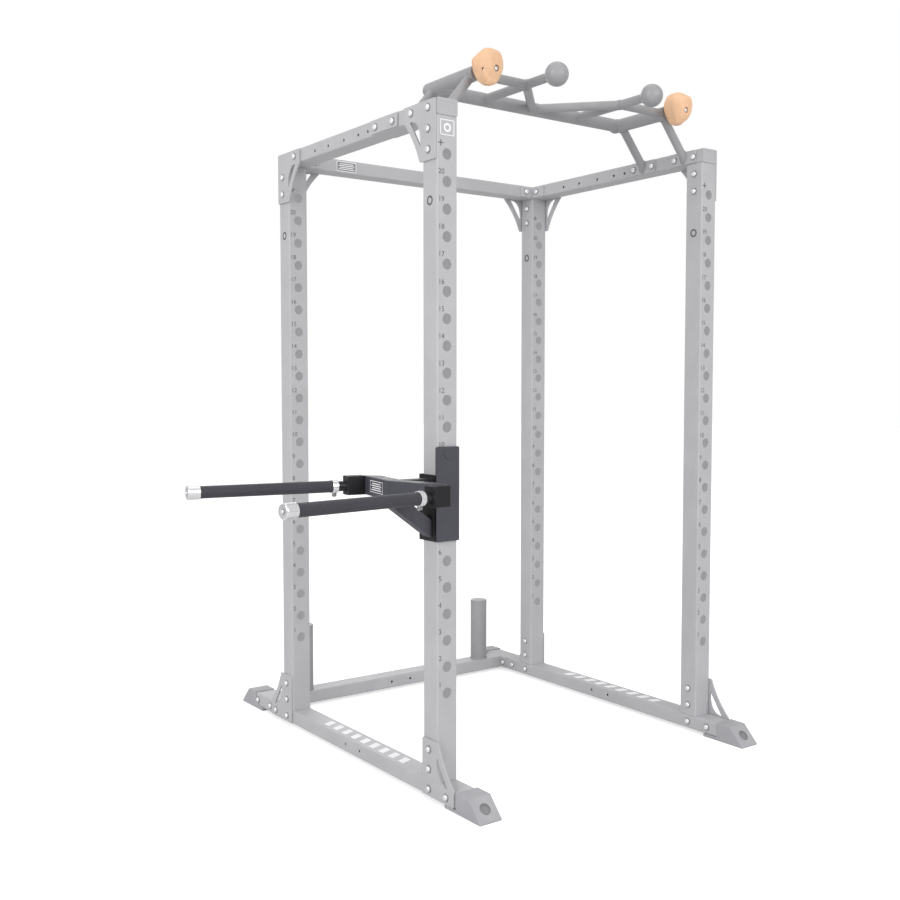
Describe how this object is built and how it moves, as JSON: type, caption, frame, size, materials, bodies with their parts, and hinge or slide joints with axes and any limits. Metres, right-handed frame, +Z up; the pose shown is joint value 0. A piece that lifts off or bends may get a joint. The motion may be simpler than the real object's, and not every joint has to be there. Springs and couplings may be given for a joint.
{
  "type": "power rack with dip station",
  "caption": "Freestanding four-post power rack with a multi-grip pull-up frame, climbing holds, ball grips, plate pegs and a pinned swing-up dip station.",
  "frame": {"origin": "on the floor, under the centre of the whole part's bounding box", "axes": "+Z up, +X from the left uprights to the right ones, +Y from the front of the rack to its back; the dip arms point to -X"},
  "size_m": [1.9188, 1.6648, 2.326],
  "materials": {
    "frame_paint": "satin powder coat, light grey",
    "dark_paint": "satin powder coat, mid grey",
    "shoe_plastic": "moulded, light grey",
    "hold_resin": "gritty cast resin, pale orange",
    "black_paint": "fine-textured powder coat, charcoal",
    "grip_rubber": "ribbed sleeve, near black",
    "chrome_plate": "polished",
    "liner_plastic": "moulded, black"
  },
  "bodies": {
    "rack": {"upright_front_left": "frame_paint", "shoe_front_left": "shoe_plastic", "gusset_top_front_left": "frame_paint", "gusset_base_front_left": "frame_paint", "pullup_leg_front_left": "dark_paint", "upright_front_right": "frame_paint", "shoe_front_right": "shoe_plastic", "gusset_top_front_right": "frame_paint", "gusset_base_front_right": "frame_paint", "pullup_leg_front_right": "dark_paint", "upright_rear_left": "frame_paint", "shoe_rear_left": "shoe_plastic", "gusset_top_rear_left": "frame_paint", "gusset_base_rear_left": "frame_paint", "pullup_leg_rear_left": "dark_paint", "upright_rear_right": "frame_paint", "shoe_rear_right": "shoe_plastic", "gusset_top_rear_right": "frame_paint", "gusset_base_rear_right": "frame_paint", "pullup_leg_rear_right": "dark_paint", "base_rail_left": "frame_paint", "top_rail_left": "frame_paint", "gusset_back_left": "frame_paint", "top_rail_cap_left": "frame_paint", "storage_peg_left": "dark_paint", "pullup_side_tube_left": "dark_paint", "pullup_grip_tube_left": "dark_paint", "pullup_front_tube_left": "dark_paint", "pullup_ball_left": "dark_paint", "climbing_hold_left": "hold_resin", "base_rail_right": "frame_paint", "top_rail_right": "frame_paint", "gusset_back_right": "frame_paint", "top_rail_cap_right": "frame_paint", "storage_peg_right": "dark_paint", "pullup_side_tube_right": "dark_paint", "pullup_grip_tube_right": "dark_paint", "pullup_front_tube_right": "dark_paint", "pullup_ball_right": "dark_paint", "climbing_hold_right": "hold_resin", "crossmember_top_rear": "frame_paint", "crossmember_bottom_rear": "frame_paint", "pullup_cross_tube": "dark_paint", "pullup_inner_struts": "dark_paint"},
    "dip_station": {"dip_saddle": "black_paint", "dip_saddle_liner": "liner_plastic", "dip_lock_pin": "black_paint", "dip_beam": "black_paint", "dip_neck": "black_paint", "dip_brace": "black_paint", "dip_socket_front": "black_paint", "dip_arm_front": "black_paint", "dip_collar_front": "chrome_plate", "dip_grip_front": "grip_rubber", "dip_end_cap_front": "chrome_plate", "dip_socket_rear": "black_paint", "dip_arm_rear": "black_paint", "dip_collar_rear": "chrome_plate", "dip_grip_rear": "grip_rubber", "dip_end_cap_rear": "chrome_plate"}
  },
  "joints": [
    {"name": "dip_swing", "type": "hinge", "parent": "rack", "child": "dip_station", "pos_m": [-0.25944, -0.5446, 1.0794], "axis": [0, 1, 0], "range_deg": [0, 90]}
  ]
}
